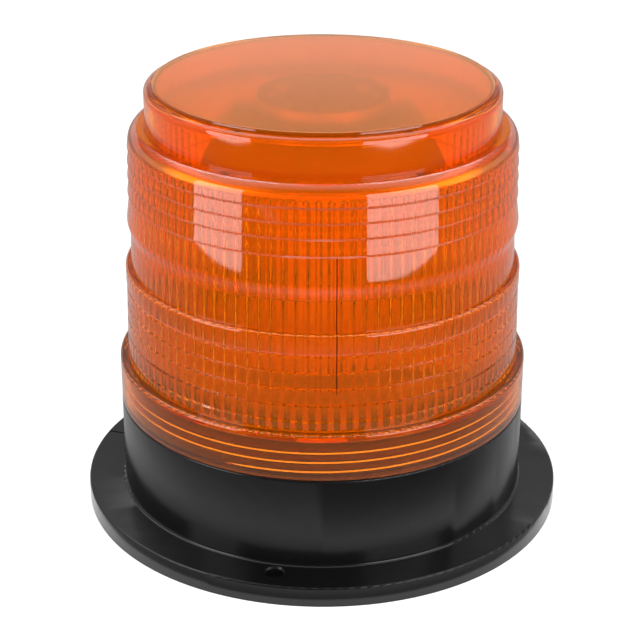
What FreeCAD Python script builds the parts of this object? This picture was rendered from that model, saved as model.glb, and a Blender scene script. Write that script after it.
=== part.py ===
import FreeCAD, Part
import math
import os

# Amber rotating beacon with a screw-on lens and a three-hole flange base.
# Millimetres, +Z up. The origin is the middle of the base's underside and the front faces -Y.

# Base housing
body_r = 63.4
flange_height = 6.2
flange_plate = 3.0
flange_rim_wall = 2.6
flange_edge_round = 0.6
flange_rib_count = 18
flange_rib_wall = 1.6
flange_rib_recess = 0.6
mount_hole_r = 2.5
mount_hole_from_body = 4.1
flange_edge_from_hole = 7.5
mount_hole_count = 3
mount_hole_first_deg = -101.7
mount_hole_chamfer = 0.5
mount_boss_r = 4.8
body_wall = 2.6
body_foot_round = 1.0
shoulder_z = 34.7
neck_r = 59.4
neck_wall = 2.5
neck_top_z = 45.8
flow_line_deg = 163.5
flow_line_width = 0.8
flow_line_depth = 0.35

# Screw thread between the base's neck and the lens
thread_pitch = 3.0
thread_turns = 2.0
lens_thread_turns = 2.4
thread_first_deg = 240.0
thread_depth = 1.5
thread_root_width = 1.5
thread_crest_width = 0.8
thread_first_z = 38.65
thread_bite = 0.4
thread_crest_gap = 0.35
lens_thread_depth = 1.35

# Chassis plate on its bosses
chassis_z = 42.0
chassis_thickness = 1.5
chassis_edge_gap = 3.4
chassis_boss_circle_r = 48.0
chassis_boss_r = 4.0
chassis_boss_first_deg = 90.0
chassis_boss_count = 3
boss_rib_wall = 1.8
screw_pilot_depth = 14.0

# Screws
chassis_screw_r = 1.5
chassis_screw_head_r = 3.2
chassis_screw_head_height = 2.0
chassis_screw_length = 12.0
small_screw_r = 1.1
small_screw_head_r = 2.2
small_screw_head_height = 1.4
small_screw_length = 4.5
screw_hole_gap = 0.2
pilot_gap = 0.05

# Cable grommet in the floor
grommet_y = -30.0
grommet_bore_r = 3.5
grommet_body_r = 6.4
grommet_hole_gap = 0.1
grommet_flange_r = 9.0
grommet_flange_height = 2.0

# Terminal block on the floor
block_x = -30.0
block_y = -2.0
block_length = 22.0
block_depth = 14.0
block_height = 12.0
block_ways = 2
block_way_pitch = 9.0
block_wire_hole_r = 1.6
block_screw_r = 1.8
block_screw_depth = 3.0

# Gear train: motor pinion, compound idler and rotor gear
first_module = 0.6
motor_teeth = 12
idler_wheel_teeth = 48
second_module = 0.8
idler_pinion_teeth = 14
rotor_teeth = 64
pressure_deg = 20.0
backlash = 0.12
pinion_addendum = 0.9
wheel_addendum = 0.75
dedendum = 1.25
flank_steps = 3
motor_from_idler_deg = 120.0
idler_wheel_width = 3.0
rotor_gear_width = 5.0
gear_level_gap = 2.0
axial_play = 0.1
running_gap = 0.05

# Motor
motor_r = 13.85
motor_can_length = 26.0
motor_can_round = 1.5
motor_cap_height = 3.5
motor_boss_r = 3.0
motor_boss_height = 1.3
motor_boss_gap = 0.15
motor_shaft_r = 1.0
motor_shaft_in_can = 12.0
motor_screw_spread = 8.0
motor_tab_height = 4.0
motor_tab_width = 2.8
motor_tab_thickness = 0.5
motor_tab_spread = 4.5
pinion_top_gap = 0.4

# Idler axle
idler_axle_r = 1.5
idler_spacer_height = 2.0
idler_spacer_r = 4.0
idler_clip_r = 3.2
idler_clip_thickness = 0.7
idler_pinion_over = 0.4
clip_groove_depth = 0.4

# Centre post, fixed to the chassis, that the rotor turns on
post_r = 8.0
post_bore_r = 6.0
post_shoulder_r = 9.5
post_flange_r = 12.0
post_flange_height = 1.5
post_swage_r = 9.2
post_swage_height = 1.0
thrust_washer_r = 11.5
thrust_washer_thickness = 0.8
circlip_r = 10.0
circlip_thickness = 0.8
circlip_gap_deg = 30.0
post_end_above_clip = 0.7

# Rotor gear and its bush
rotor_hub_r = 12.5
rotor_hub_height = 8.6
rotor_web = 2.5
rotor_rim_wall = 3.0
rotor_window_r = 2.6
rotor_window_circle_r = 17.5
rotor_window_count = 6
rotor_window_first_deg = 30.0
bush_wall = 1.95
bush_seat_gap = 0.02

# Lamp holder and halogen capsule bulb
holder_r = 12.5
holder_height = 6.2
holder_lip = 0.6
holder_lip_wall = 1.4
bulb_light_height = 25.0
bulb_flange_r = 10.0
bulb_flange_thickness = 1.0
bulb_flange_flat = 8.5
bulb_sleeve_r = 5.5
bulb_sleeve_length = 12.0
bulb_collar_r = 5.6
bulb_collar_height = 5.0
bulb_blade_width = 6.3
bulb_blade_thickness = 0.8
bulb_blade_length = 7.0
bulb_glass_r = 4.7
bulb_glass_wall = 0.8
bulb_glass_seat = 0.5
bulb_glass_straight = 30.0
filament_length = 5.0
filament_r = 0.7
filament_post_r = 0.35
filament_post_offset = 1.9
filament_arm_r = 0.25
filament_arm_inset = 0.8
clip_wire = 0.9
clip_inner_r = 6.4
clip_outer_r = 9.6
clip_leg_width = 5.0
clip_slot_depth = 1.6
clip_slot_gap = 0.5
clip_leg_share = 0.7
clip_side_gap = 0.1

# Reflector, a paraboloid with its focus at the filament
focal_length = 15.0
aperture_y = 10.0
reflector_height = 62.0
reflector_wall = 1.8
lamp_hole_r = 14.0
lamp_hole_top = 4.0
bracket_width = 16.0
bracket_thickness = 1.5
bracket_foot = 6.2
bracket_above_axis = 9.0
bracket_inner_bend_r = 0.6
foot_screw_spread = 4.5
foot_screw_inset = 2.6
back_boss_r = 4.5
back_boss_height = 2.5

# Heat shield over the bulb
shield_r = 20.0
shield_thickness = 0.8
shield_gap = 5.0
shield_slot_count = 9
shield_slot_r = 1.5
shield_slot_circle_r = 15.5
shield_post_r = 1.6
shield_post_spread = 12.0
shield_post_y = 6.5
shield_rivet_r = 2.8
shield_rivet_height = 0.8

# Lens seal
seal_thickness = 1.2
seal_inset = 0.6
seal_thread_gap = 0.5

# Lens, outside
skirt_r = 63.35
skirt_top_round = 1.0
ledge_z = 49.2
lower_wall_r = 60.8
lower_wall_top_r = 60.4
lower_rib_first_z = 52.5
lower_rib_pitch = 5.05
lower_rib_count = 4
groove_width = 0.9
groove_depth = 0.35
bead_edge = 0.3
lower_bead_r = 60.55
band_z = 79.3
band_r = 58.85
band_top_r = 58.55
upper_bead_z = 89.9
upper_bead_r = 59.55
upper_bead_slope = 3.3
upper_bead_flat = 3.2
upper_groove_zs = (100.3, 105.5, 110.1, 114.5)
upper_crest_over_groove = 1.8
upper_groove_depth = 0.35
upper_wall_r = 59.0
upper_wall_top_r = 58.4
shoulder_corner_z = 120.8
shoulder_round = 2.0
step_z = 122.3
step_r = 55.8
ring_r = 53.4
ring_top_r = 53.0
ring_round = 1.5
disc_r = 50.7
disc_rise = 1.2
disc_round = 0.5
lens_top_z = 135.2

# Lens, inside
flute_count = 102
flute_depth = 0.5
flute_foot_share = 0.55
flute_top_share = 0.4
flute_bottom_z = 48.2
flute_middle_z = 88.3
flute_top_z = 118.0
lower_bore_r = 56.6
upper_bore_r = 56.0
skirt_roof_z = 46.7
ring_bore_r = 50.6
ring_bore_z = 121.2
disc_thickness = 2.6

# Internal leads
lead_r = 0.9
lead_bend_r = 5.0
lead_gap = 0.1
lead_entry = 3.0
lamp_lead_turn_x = -9.0
lamp_lead_rise_z = 24.0
live_lead_side = 14.0
live_lead_over_floor = 3.0
live_lead_turn_x = -16.0
live_lead_rise_x = 2.0
return_lead_turn_x = -8.0
return_lead_rise_x = 12.0
return_lead_side = 4.0
return_lead_round_motor = 12.0
return_lead_back = 9.0

# Heights and radii that follow from the sizes above
mount_hole_circle_r = body_r + mount_hole_from_body
flange_r = mount_hole_circle_r + flange_edge_from_hole
rim_z = lens_top_z - disc_rise
floor_top_z = flange_height
floor_bottom_z = flange_height - flange_plate
neck_bore_r = neck_r - neck_wall
thread_crest_r = neck_r + thread_depth
skirt_bore_r = thread_crest_r + thread_crest_gap
skirt_bottom_z = shoulder_z + seal_thickness
chassis_top_z = chassis_z + chassis_thickness
chassis_r = neck_bore_r - chassis_edge_gap
first_distance = first_module * (motor_teeth + idler_wheel_teeth) / 2
second_distance = second_module * (idler_pinion_teeth + rotor_teeth) / 2
idler_x = second_distance
idler_y = 0.0
motor_x = idler_x + first_distance * math.cos(math.radians(motor_from_idler_deg))
motor_y = idler_y + first_distance * math.sin(math.radians(motor_from_idler_deg))
idler_wheel_z = chassis_top_z + idler_spacer_height + axial_play
idler_wheel_top_z = idler_wheel_z + idler_wheel_width
rotor_gear_z = idler_wheel_top_z + gear_level_gap
rotor_gear_top_z = rotor_gear_z + rotor_gear_width
idler_top_z = rotor_gear_top_z + idler_pinion_over
rotor_hub_top_z = rotor_gear_z + rotor_hub_height
post_shoulder_z = rotor_gear_z - axial_play - thrust_washer_thickness
circlip_z = rotor_hub_top_z + axial_play
post_top_z = circlip_z + circlip_thickness + post_end_above_clip
holder_top_z = post_top_z + holder_height
light_z = holder_top_z + bulb_light_height
bulb_flange_top_z = holder_top_z + bulb_flange_thickness
reflector_bottom_z = light_z - reflector_height / 2
reflector_top_z = light_z + reflector_height / 2
bracket_y = -focal_length - reflector_wall - back_boss_height
shield_z = reflector_top_z + shield_gap
motor_bottom_z = chassis_z - motor_can_length - motor_cap_height


def point(x, y, z):
    return FreeCAD.Vector(x, y, z)


up = point(0, 0, 1)
origin = point(0, 0, 0)


def rod(r, z_low, z_high, x=0.0, y=0.0):
    """Upright round bar."""
    return Part.makeCylinder(r, z_high - z_low, point(x, y, z_low), up)


def tube(r_out, r_in, z_low, z_high, x=0.0, y=0.0):
    """Upright round tube."""
    return rod(r_out, z_low, z_high, x, y).cut(rod(r_in, z_low - 1, z_high + 1, x, y))


def block(x_low, x_high, y_low, y_high, z_low, z_high):
    """Box between two corners."""
    return Part.makeBox(x_high - x_low, y_high - y_low, z_high - z_low, point(x_low, y_low, z_low))


def turned_about(shape, degrees, x=0.0, y=0.0):
    """Copy of a shape, turned about an upright line."""
    copy = shape.copy()
    copy.rotate(point(x, y, 0), up, degrees)
    return copy


def around(shape, count, first=0.0):
    """Copies of a shape, evenly spaced about the beacon's axis."""
    return [turned_about(shape, first + 360.0 * i / count) for i in range(count)]


def joined(shapes):
    """One solid from overlapping ones."""
    return shapes[0].multiFuse(shapes[1:]).removeSplitter()


def as_group(shapes):
    """Separate solids kept together in one node."""
    return Part.makeCompound(shapes)


class Outline:
    """Half section drawn point by point as radius and height, then turned about the Z axis."""

    def __init__(self, r, z):
        self.start = point(r, 0, z)
        self.here = self.start
        self.edges = []

    def line(self, r, z):
        end = point(r, 0, z)
        self.edges.append(Part.LineSegment(self.here, end).toShape())
        self.here = end
        return self

    def arc(self, middle_r, middle_z, r, z):
        end = point(r, 0, z)
        self.edges.append(Part.Arc(self.here, point(middle_r, 0, middle_z), end).toShape())
        self.here = end
        return self

    def corner(self, r, z, radius, next_r, next_z):
        """Straight to a corner, then round it towards the next point."""
        tip = point(r, 0, z)
        back = (self.here - tip).normalize()
        ahead = (point(next_r, 0, next_z) - tip).normalize()
        half = back.getAngle(ahead) / 2
        reach = radius / math.tan(half)
        middle = tip + (back + ahead).normalize() * (radius / math.sin(half) - radius)
        first = tip + back * reach
        last = tip + ahead * reach
        self.line(first.x, first.z)
        return self.arc(middle.x, middle.z, last.x, last.z)

    def dome(self, top_z):
        """Round cap from here to the axis, with its centre on the axis."""
        rise = top_z - self.here.z
        radius = (self.here.x ** 2 + rise ** 2) / (2 * rise)
        half = math.asin(self.here.x / radius) / 2
        middle_r = radius * math.sin(half)
        middle_z = top_z - radius + radius * math.cos(half)
        return self.arc(middle_r, middle_z, 0, top_z)

    def turned(self):
        self.line(self.start.x, self.start.z)
        face = Part.Face(Part.Wire(self.edges))
        return face.revolve(origin, up, 360)


def thread_ridge(wall_r, crest_r, first_z, turns):
    """Trapezoid ridge wound as a right-hand helix, rooted a little inside its wall."""
    inwards = 1 if wall_r > crest_r else -1
    root_r = wall_r + inwards * thread_bite
    half_root = thread_root_width / 2
    half_crest = thread_crest_width / 2
    corners = [
        point(root_r, 0, -half_root),
        point(crest_r, 0, -half_crest),
        point(crest_r, 0, half_crest),
        point(root_r, 0, half_root),
    ]
    section = Part.makePolygon(corners + corners[:1])
    helix = Part.makeHelix(thread_pitch, thread_pitch * turns, wall_r)
    ridge = Part.Wire(helix.Edges).makePipeShell([section], True, True)
    ridge.translate(point(0, 0, first_z))
    return turned_about(ridge, thread_first_deg)


def gear_outline(teeth, module, addendum, tooth_at_deg):
    """Closed outline of a spur gear with involute flanks and one tooth centred on a given angle."""
    pitch_r = module * teeth / 2
    base_r = pitch_r * math.cos(math.radians(pressure_deg))
    root_r = pitch_r - dedendum * module
    tip_r = pitch_r + addendum * module
    low_r = max(base_r, root_r)

    def involute(r):
        slope = math.acos(base_r / r)
        return math.tan(slope) - slope

    pitch_half = (math.pi * module / 2 - backlash) / (2 * pitch_r)
    flank = []
    for step in range(flank_steps + 1):
        r = low_r + (tip_r - low_r) * step / flank_steps
        flank.append((r, pitch_half + involute(pitch_r) - involute(r)))
    rising = [(root_r, flank[0][1])] + flank
    corners = []
    for tooth in range(teeth):
        middle = math.radians(tooth_at_deg) + 2 * math.pi * tooth / teeth
        for r, half in rising:
            corners.append(point(r * math.cos(middle - half), r * math.sin(middle - half), 0))
        for r, half in reversed(rising):
            corners.append(point(r * math.cos(middle + half), r * math.sin(middle + half), 0))
    return Part.makePolygon(corners + corners[:1])


def gear(teeth, module, addendum, tooth_at_deg, z_low, z_high, x=0.0, y=0.0):
    """Solid spur gear."""
    body = Part.Face(gear_outline(teeth, module, addendum, tooth_at_deg))
    body = body.extrude(point(0, 0, z_high - z_low))
    body.translate(point(x, y, z_low))
    return body


def screw(shank_r, length, head_r, head_height, x, y, seat_z):
    """Pan-head screw standing on its seat."""
    shape = Outline(0, seat_z - length).line(shank_r, seat_z - length).line(shank_r, seat_z)
    shape.line(head_r, seat_z).line(head_r, seat_z + head_height * 0.6)
    shape.line(head_r * 0.7, seat_z + head_height).line(0, seat_z + head_height)
    shape = shape.turned()
    shape.translate(point(x, y, 0))
    return shape


def at_angle(radius, degrees):
    """Place in plan at a radius and an angle from +X."""
    turn = math.radians(degrees)
    return radius * math.cos(turn), radius * math.sin(turn)


def chassis_boss_places():
    step = 360.0 / chassis_boss_count
    return [
        at_angle(chassis_boss_circle_r, chassis_boss_first_deg + step * i)
        for i in range(chassis_boss_count)
    ]


def mount_hole_places():
    step = 360.0 / mount_hole_count
    return [
        at_angle(mount_hole_circle_r, mount_hole_first_deg + step * i)
        for i in range(mount_hole_count)
    ]


def motor_screw_places():
    away_x, away_y = at_angle(motor_screw_spread, motor_from_idler_deg - 90)
    return [(motor_x + side * away_x, motor_y + side * away_y) for side in (-1, 1)]


def base_shell():
    """Flange, floor, cylinder and neck as one turned moulding."""
    inner_r = body_r - body_wall
    ceiling = shoulder_z - body_wall
    shape = Outline(0, floor_bottom_z).line(flange_r - flange_rim_wall, floor_bottom_z)
    shape.line(flange_r - flange_rim_wall, 0).line(flange_r, 0)
    shape.corner(flange_r, flange_height, flange_edge_round, body_r, flange_height)
    shape.corner(body_r, flange_height, body_foot_round, body_r, shoulder_z)
    shape.corner(body_r, shoulder_z, flange_edge_round, neck_r, shoulder_z)
    shape.line(neck_r, shoulder_z).line(neck_r, neck_top_z).line(neck_bore_r, neck_top_z)
    shape.line(neck_bore_r, ceiling).line(inner_r, ceiling).line(inner_r, floor_top_z)
    shape.line(0, floor_top_z)
    return shape.turned()


def base_bosses():
    """Chassis bosses, each tied to the wall by a rib."""
    pieces = []
    for x, y in chassis_boss_places():
        pieces.append(rod(chassis_boss_r, floor_top_z - 1, chassis_z, x, y))
    rib = block(
        chassis_boss_circle_r, body_r - body_wall / 2,
        -boss_rib_wall / 2, boss_rib_wall / 2,
        floor_top_z - 1, shoulder_z - body_wall / 2)
    return pieces + around(rib, chassis_boss_count, chassis_boss_first_deg)


def flange_ribs():
    """Radial ribs under the flange, between the cylinder's foot and the rim."""
    rib = block(
        body_r - body_wall, flange_r - flange_rim_wall / 2,
        -flange_rib_wall / 2, flange_rib_wall / 2,
        flange_rib_recess, floor_bottom_z + 1)
    foot_ring = tube(body_r, body_r - body_wall, 0, floor_bottom_z + 1)
    bosses = [rod(mount_boss_r, 0, floor_bottom_z + 1, x, y) for x, y in mount_hole_places()]
    return around(rib, flange_rib_count, mount_hole_first_deg + 10) + [foot_ring] + bosses


def base_housing():
    """Glossy black base moulding with its neck thread, bosses, ribs and holes."""
    ridge = thread_ridge(neck_r, thread_crest_r, thread_first_z, thread_turns)
    shape = joined([base_shell()] + base_bosses() + flange_ribs())
    shape = shape.fuse(ridge)
    for x, y in mount_hole_places():
        shape = shape.cut(rod(mount_hole_r, -1, flange_height + 1, x, y))
        chamfer = Part.makeCone(
            mount_hole_r, mount_hole_r + mount_hole_chamfer * 2, mount_hole_chamfer * 2,
            point(x, y, flange_height - mount_hole_chamfer), up)
        shape = shape.cut(chamfer)
    pilot_r = chassis_screw_r + pilot_gap
    for x, y in chassis_boss_places():
        shape = shape.cut(rod(pilot_r, chassis_z - screw_pilot_depth, chassis_z + 1, x, y))
    hole_r = grommet_body_r + grommet_hole_gap
    shape = shape.cut(rod(hole_r, floor_bottom_z - 1, floor_top_z + 1, 0, grommet_y))
    groove = block(
        body_r + body_foot_round, flange_r + 1, -flow_line_width / 2, flow_line_width / 2,
        flange_height - flow_line_depth, flange_height + 1)
    return shape.cut(turned_about(groove, flow_line_deg))


def cable_grommet():
    """Rubber grommet that grips the floor's edge, with the bore for the supply cable."""
    low = floor_bottom_z - grommet_flange_height
    high = floor_top_z + grommet_flange_height
    shape = rod(grommet_body_r, low, high, 0, grommet_y)
    shape = shape.fuse(rod(grommet_flange_r, low, floor_bottom_z, 0, grommet_y))
    shape = shape.fuse(rod(grommet_flange_r, floor_top_z, high, 0, grommet_y))
    return shape.cut(rod(grommet_bore_r, low - 1, high + 1, 0, grommet_y)).removeSplitter()


def block_way_ys():
    return [block_y + block_way_pitch * (i - (block_ways - 1) / 2) for i in range(block_ways)]


def terminal_block():
    """Screw terminal block, open at both ends and over each screw."""
    half = block_length / 2
    low = floor_top_z
    wire_z = low + block_height * 0.4
    width = block_way_pitch * block_ways
    shape = block(
        block_x - half, block_x + half, block_y - width / 2, block_y + width / 2,
        low, low + block_height * 0.7)
    for y in block_way_ys():
        tower = block(
            block_x - half * 0.6, block_x + half * 0.6, y - block_depth / 4, y + block_depth / 4,
            low + block_height * 0.5, low + block_height)
        shape = shape.fuse(tower)
    for y in block_way_ys():
        wire_hole = Part.makeCylinder(
            block_wire_hole_r, block_length + 2, point(block_x - half - 1, y, wire_z), point(1, 0, 0))
        shape = shape.cut(wire_hole)
        for side in (-1, 1):
            x = block_x + side * half * 0.3
            shape = shape.cut(rod(block_screw_r, wire_z, low + block_height + 1, x, y))
    return shape.removeSplitter()


def terminal_screws():
    """Brass grub screws down the block's towers."""
    top = floor_top_z + block_height - 1
    screws = []
    for y in block_way_ys():
        for side in (-1, 1):
            x = block_x + side * block_length / 2 * 0.3
            body = rod(block_screw_r - pilot_gap, top - block_screw_depth, top, x, y)
            slot = block(x - block_screw_r, x + block_screw_r, y - 0.3, y + 0.3, top - 0.8, top + 1)
            screws.append(body.cut(slot))
    return as_group(screws)


def chassis_plate():
    """Zinc-plated steel plate that carries the motor, the idler and the centre post."""
    shape = rod(chassis_r, chassis_z, chassis_top_z)
    holes = [rod(post_r + running_gap, chassis_z - 1, chassis_top_z + 1)]
    for x, y in chassis_boss_places():
        holes.append(rod(chassis_screw_r + screw_hole_gap, chassis_z - 1, chassis_top_z + 1, x, y))
    for x, y in motor_screw_places():
        holes.append(rod(small_screw_r + screw_hole_gap, chassis_z - 1, chassis_top_z + 1, x, y))
    boss_hole_r = motor_boss_r + motor_boss_gap
    holes.append(rod(boss_hole_r, chassis_z - 1, chassis_top_z + 1, motor_x, motor_y))
    axle_hole_r = idler_axle_r + bush_seat_gap
    holes.append(rod(axle_hole_r, chassis_z - 1, chassis_top_z + 1, idler_x, idler_y))
    for hole in holes:
        shape = shape.cut(hole)
    return shape


def chassis_screws():
    return as_group([
        screw(chassis_screw_r, chassis_screw_length, chassis_screw_head_r,
              chassis_screw_head_height, x, y, chassis_top_z)
        for x, y in chassis_boss_places()])


def motor_can():
    """Drawn steel can with its bearing boss, bored for the shaft and tapped for two screws."""
    low = chassis_z - motor_can_length
    shape = Outline(0, low).line(motor_r, low)
    shape.corner(motor_r, chassis_z, motor_can_round, 0, chassis_z)
    shape = shape.line(0, chassis_z).turned()
    shape = shape.fuse(rod(motor_boss_r, chassis_z - 1, chassis_z + motor_boss_height))
    bore_r = motor_shaft_r + running_gap
    shape = shape.cut(rod(bore_r, chassis_z - motor_shaft_in_can, chassis_z + 5))
    shape.translate(point(motor_x, motor_y, 0))
    for x, y in motor_screw_places():
        shape = shape.cut(rod(small_screw_r + pilot_gap, chassis_z - 5, chassis_z + 1, x, y))
    return shape


def motor_end_cap():
    """Plastic cap that closes the can and holds the brush terminals."""
    high = chassis_z - motor_can_length
    shape = Outline(0, motor_bottom_z)
    shape.corner(motor_r - 0.6, motor_bottom_z, 0.8, motor_r - 0.6, high)
    shape = shape.line(motor_r - 0.6, high).line(0, high).turned()
    shape.translate(point(motor_x, motor_y, 0))
    return shape


def motor_terminals():
    """Two tinned brass tabs that stand out of the end cap."""
    tabs = []
    for side in (-1, 1):
        x = motor_x + side * motor_tab_spread
        tab = block(
            x - motor_tab_thickness / 2, x + motor_tab_thickness / 2,
            motor_y - motor_tab_width / 2, motor_y + motor_tab_width / 2,
            motor_bottom_z - motor_tab_height, motor_bottom_z)
        tabs.append(tab)
    return as_group(tabs)


def motor_screws():
    return as_group([
        screw(small_screw_r, small_screw_length, small_screw_head_r,
              small_screw_head_height, x, y, chassis_top_z)
        for x, y in motor_screw_places()])


def motor_shaft():
    low = chassis_z - motor_shaft_in_can + axial_play
    return rod(motor_shaft_r, low, idler_wheel_top_z + pinion_top_gap + 0.6, motor_x, motor_y)


def motor_pinion():
    """Brass pinion on the motor shaft, with a gap between teeth facing the idler wheel."""
    gap_deg = motor_from_idler_deg + 180
    low = idler_wheel_z - pinion_top_gap
    high = idler_wheel_top_z + pinion_top_gap
    shape = gear(
        motor_teeth, first_module, pinion_addendum, gap_deg + 180 / motor_teeth,
        low, high, motor_x, motor_y)
    return shape.cut(rod(motor_shaft_r + bush_seat_gap, low - 1, high + 1, motor_x, motor_y))


def idler_axle():
    """Steel pin pressed into the plate, grooved near the top for its clip."""
    top = idler_top_z + axial_play + idler_clip_thickness + 0.8
    shape = rod(idler_axle_r, chassis_z, top, idler_x, idler_y)
    clip_z = idler_top_z + axial_play
    groove = tube(
        idler_axle_r + 1, idler_axle_r - clip_groove_depth, clip_z,
        clip_z + idler_clip_thickness, idler_x, idler_y)
    return shape.cut(groove)


def idler_spacer():
    return tube(
        idler_spacer_r, idler_axle_r + running_gap, chassis_top_z,
        chassis_top_z + idler_spacer_height, idler_x, idler_y)


def idler_gear():
    """Compound acetal gear: a wheel driven by the motor and a pinion that drives the rotor."""
    wheel = gear(
        idler_wheel_teeth, first_module, wheel_addendum, motor_from_idler_deg,
        idler_wheel_z, idler_wheel_top_z, idler_x, idler_y)
    pinion = gear(
        idler_pinion_teeth, second_module, pinion_addendum, 180 + 180 / idler_pinion_teeth,
        idler_wheel_top_z - 1, idler_top_z, idler_x, idler_y)
    rim_r = first_module * idler_wheel_teeth / 2 - 2.6
    recess = tube(rim_r, idler_spacer_r + 1, idler_wheel_z - 1, idler_wheel_z + 0.8, idler_x, idler_y)
    shape = wheel.fuse(pinion).cut(recess)
    bore = rod(idler_axle_r + running_gap, idler_wheel_z - 1, idler_top_z + 1, idler_x, idler_y)
    return shape.cut(bore)


def retaining_ring(r_out, r_in, z_low, thickness, open_deg, x, y):
    """Flat ring with an open side, sprung into a groove."""
    shape = tube(r_out, r_in, z_low, z_low + thickness, x, y)
    half = r_out * math.tan(math.radians(open_deg / 2))
    mouth = block(x, x + r_out + 1, y - half, y + half, z_low - 1, z_low + thickness + 1)
    return shape.cut(mouth)


def idler_clip():
    inner = idler_axle_r - clip_groove_depth + running_gap
    return retaining_ring(
        idler_clip_r, inner, idler_top_z + axial_play, idler_clip_thickness,
        circlip_gap_deg, idler_x, idler_y)


def centre_post():
    """Hollow steel post, swaged into the plate, that carries the lamp and the rotor's bearing."""
    flange_top = chassis_top_z + post_flange_height
    shape = Outline(post_bore_r, chassis_z - post_swage_height)
    shape.line(post_swage_r, chassis_z - post_swage_height).line(post_swage_r, chassis_z)
    shape.line(post_r, chassis_z).line(post_r, chassis_top_z).line(post_flange_r, chassis_top_z)
    shape.line(post_flange_r, flange_top).line(post_shoulder_r, flange_top)
    shape.line(post_shoulder_r, post_shoulder_z).line(post_r, post_shoulder_z)
    shape.line(post_r, circlip_z).line(post_r - clip_groove_depth, circlip_z)
    shape.line(post_r - clip_groove_depth, circlip_z + circlip_thickness)
    shape.line(post_r, circlip_z + circlip_thickness).line(post_r, post_top_z)
    shape.line(post_bore_r, post_top_z)
    return shape.turned()


def thrust_washer():
    return tube(
        thrust_washer_r, post_r + running_gap, post_shoulder_z,
        post_shoulder_z + thrust_washer_thickness)


def post_circlip():
    inner = post_r - clip_groove_depth + running_gap
    return retaining_ring(
        circlip_r, inner, circlip_z, circlip_thickness, circlip_gap_deg, 0.0, 0.0)


def bearing_bush():
    """Sintered bronze bush pressed into the rotor hub."""
    inner = post_r + running_gap
    return tube(inner + bush_wall, inner, rotor_gear_z, rotor_hub_top_z)


def rotor_gear():
    """Acetal ring gear with a webbed disc and the hub that turns on the centre post."""
    shape = gear(rotor_teeth, second_module, wheel_addendum, 0.0, rotor_gear_z, rotor_gear_top_z)
    rim_r = second_module * rotor_teeth / 2 - dedendum * second_module - rotor_rim_wall
    under = tube(rim_r, rotor_hub_r, rotor_gear_z - 1, rotor_gear_top_z - rotor_web)
    shape = shape.cut(under).fuse(rod(rotor_hub_r, rotor_gear_z, rotor_hub_top_z))
    bush_r = post_r + running_gap + bush_wall + bush_seat_gap
    shape = shape.cut(rod(bush_r, rotor_gear_z - 1, rotor_hub_top_z + 1))
    window = rod(rotor_window_r, rotor_gear_z, rotor_gear_top_z + 1, rotor_window_circle_r, 0)
    for hole in around(window, rotor_window_count, rotor_window_first_deg):
        shape = shape.cut(hole)
    for x, y in foot_screw_places():
        shape = shape.cut(rod(small_screw_r + pilot_gap, rotor_gear_z - 1, rotor_gear_top_z + 1, x, y))
    return shape.removeSplitter()


def lamp_holder():
    """Moulded holder on the post's end, with the seat for the bulb's flange."""
    shape = rod(holder_r, post_top_z, holder_top_z)
    lip = tube(
        post_r + running_gap + holder_lip_wall, post_r + running_gap,
        post_top_z - holder_lip, post_top_z + 1)
    shape = shape.fuse(lip)
    shape = shape.cut(rod(post_bore_r, post_top_z - 1, holder_top_z + 1))
    for side in (-1, 1):
        slot = block(
            side * holder_r - clip_slot_depth, side * holder_r + clip_slot_depth,
            -clip_leg_width / 2 - clip_slot_gap, clip_leg_width / 2 + clip_slot_gap,
            post_top_z - 1, holder_top_z + 1)
        shape = shape.cut(slot)
    return shape.removeSplitter()


def bulb_clip():
    """Sprung steel clip that presses the bulb's flange onto its seat."""
    low = bulb_flange_top_z
    ring = tube(clip_outer_r, clip_inner_r, low, low + clip_wire)
    shape = ring
    leg_x = holder_r - clip_slot_depth + clip_side_gap
    for side in (-1, 1):
        inner_x = side * (clip_outer_r - 1)
        outer_x = side * (leg_x + clip_wire)
        arm = block(
            min(inner_x, outer_x), max(inner_x, outer_x), -clip_leg_width / 2,
            clip_leg_width / 2, low, low + clip_wire)
        leg = block(
            min(side * leg_x, outer_x), max(side * leg_x, outer_x), -clip_leg_width / 2,
            clip_leg_width / 2, holder_top_z - clip_leg_share * holder_height,
            low + clip_wire)
        shape = shape.fuse(arm).fuse(leg)
    return shape.removeSplitter()


def bulb_base():
    """Bulb's metal base: flange with one flat, collar, sleeve and blade terminal."""
    shape = rod(bulb_flange_r, holder_top_z, bulb_flange_top_z)
    flat = block(
        -bulb_flange_r, bulb_flange_r, bulb_flange_flat, bulb_flange_r + 1,
        holder_top_z - 1, bulb_flange_top_z + 1)
    shape = shape.cut(flat)
    shape = shape.fuse(rod(bulb_collar_r, holder_top_z, bulb_flange_top_z + bulb_collar_height))
    sleeve_low = holder_top_z - bulb_sleeve_length
    shape = shape.fuse(rod(bulb_sleeve_r, sleeve_low, bulb_flange_top_z))
    blade = block(
        -bulb_blade_width / 2, bulb_blade_width / 2,
        -bulb_blade_thickness / 2, bulb_blade_thickness / 2,
        sleeve_low - bulb_blade_length, sleeve_low + 1)
    pocket_z = bulb_flange_top_z + bulb_collar_height - 2
    shape = shape.fuse(blade).removeSplitter()
    return shape.cut(rod(bulb_glass_r + pilot_gap, pocket_z, pocket_z + 3))


def bulb_glass():
    """Quartz capsule: a thin tube closed by a dome."""
    low = bulb_flange_top_z + bulb_collar_height - 2
    high = low + bulb_glass_straight
    inner = bulb_glass_r - bulb_glass_wall
    slope = math.sqrt(0.5)
    shape = Outline(0, low).line(bulb_glass_r, low).line(bulb_glass_r, high)
    shape.arc(bulb_glass_r * slope, high + bulb_glass_r * slope, 0, high + bulb_glass_r)
    shape.line(0, high + inner)
    shape.arc(inner * slope, high + inner * slope, inner, high)
    shape.line(inner, low + 3).line(0, low + 3)
    return shape.turned()


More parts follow.
